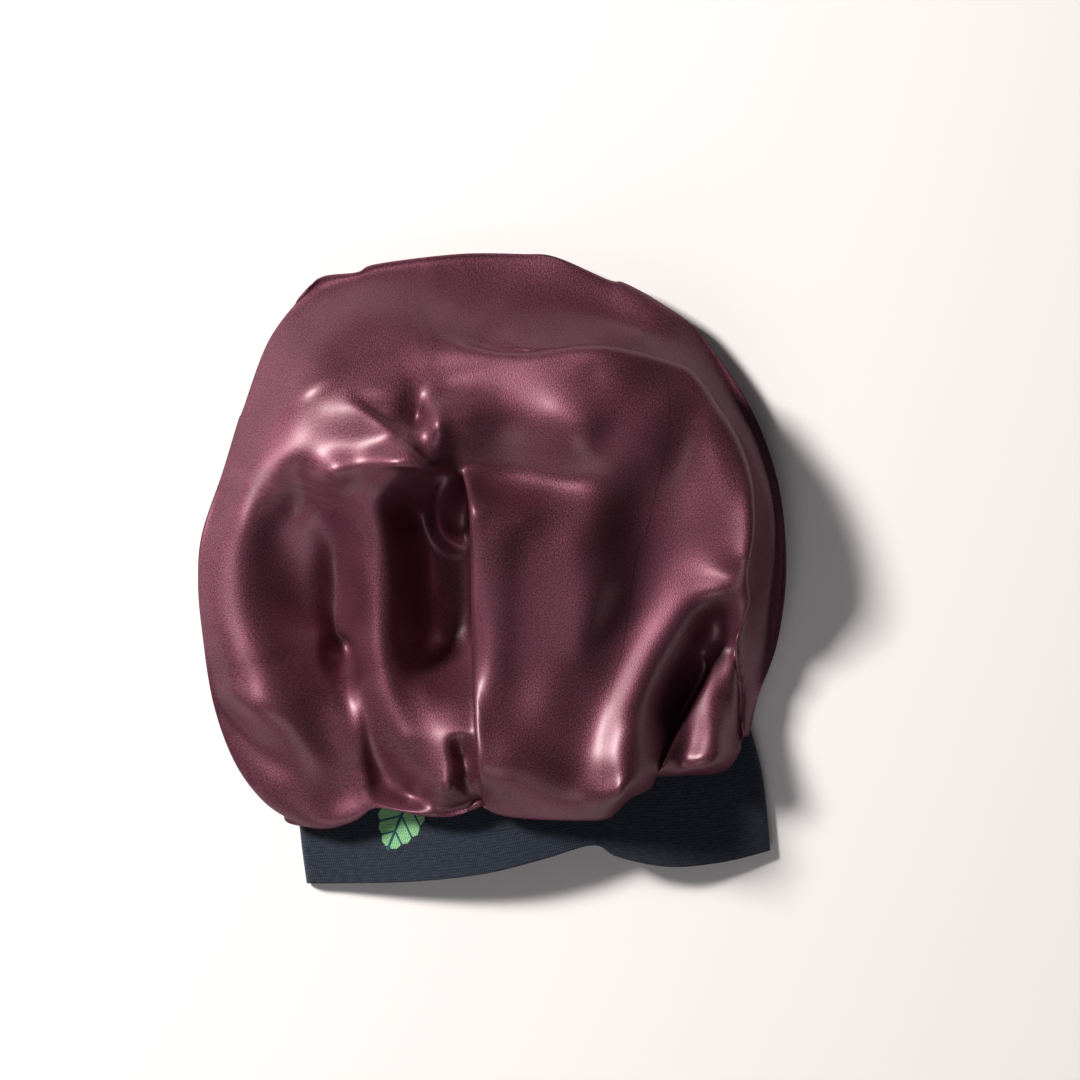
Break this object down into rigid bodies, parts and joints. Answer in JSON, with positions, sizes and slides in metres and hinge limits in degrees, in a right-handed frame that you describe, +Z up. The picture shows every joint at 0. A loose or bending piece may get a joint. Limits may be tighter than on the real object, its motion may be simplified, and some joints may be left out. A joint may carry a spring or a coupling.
{
  "type": "sleep bonnet",
  "caption": "Satin sleep bonnet lying on its back: a puffed, folded crown gathered on a wide doubled jersey band, open at the mouth.",
  "frame": {"origin": "on the floor, under the middle of the bonnet's bounding box as it lies on its back", "axes": "+Z up from the floor, +Y from the band's hem to the far end of the crown, +X to the right as seen from above with the band nearest"},
  "size_m": [0.2964, 0.3189, 0.0849],
  "materials": {
    "plum_satin": "satin weave with a soft directional sheen",
    "charcoal_jersey": "matte jersey knit"
  },
  "bodies": {
    "root": {"satin_crown": "plum_satin", "jersey_band": "charcoal_jersey"}
  },
  "joints": []
}
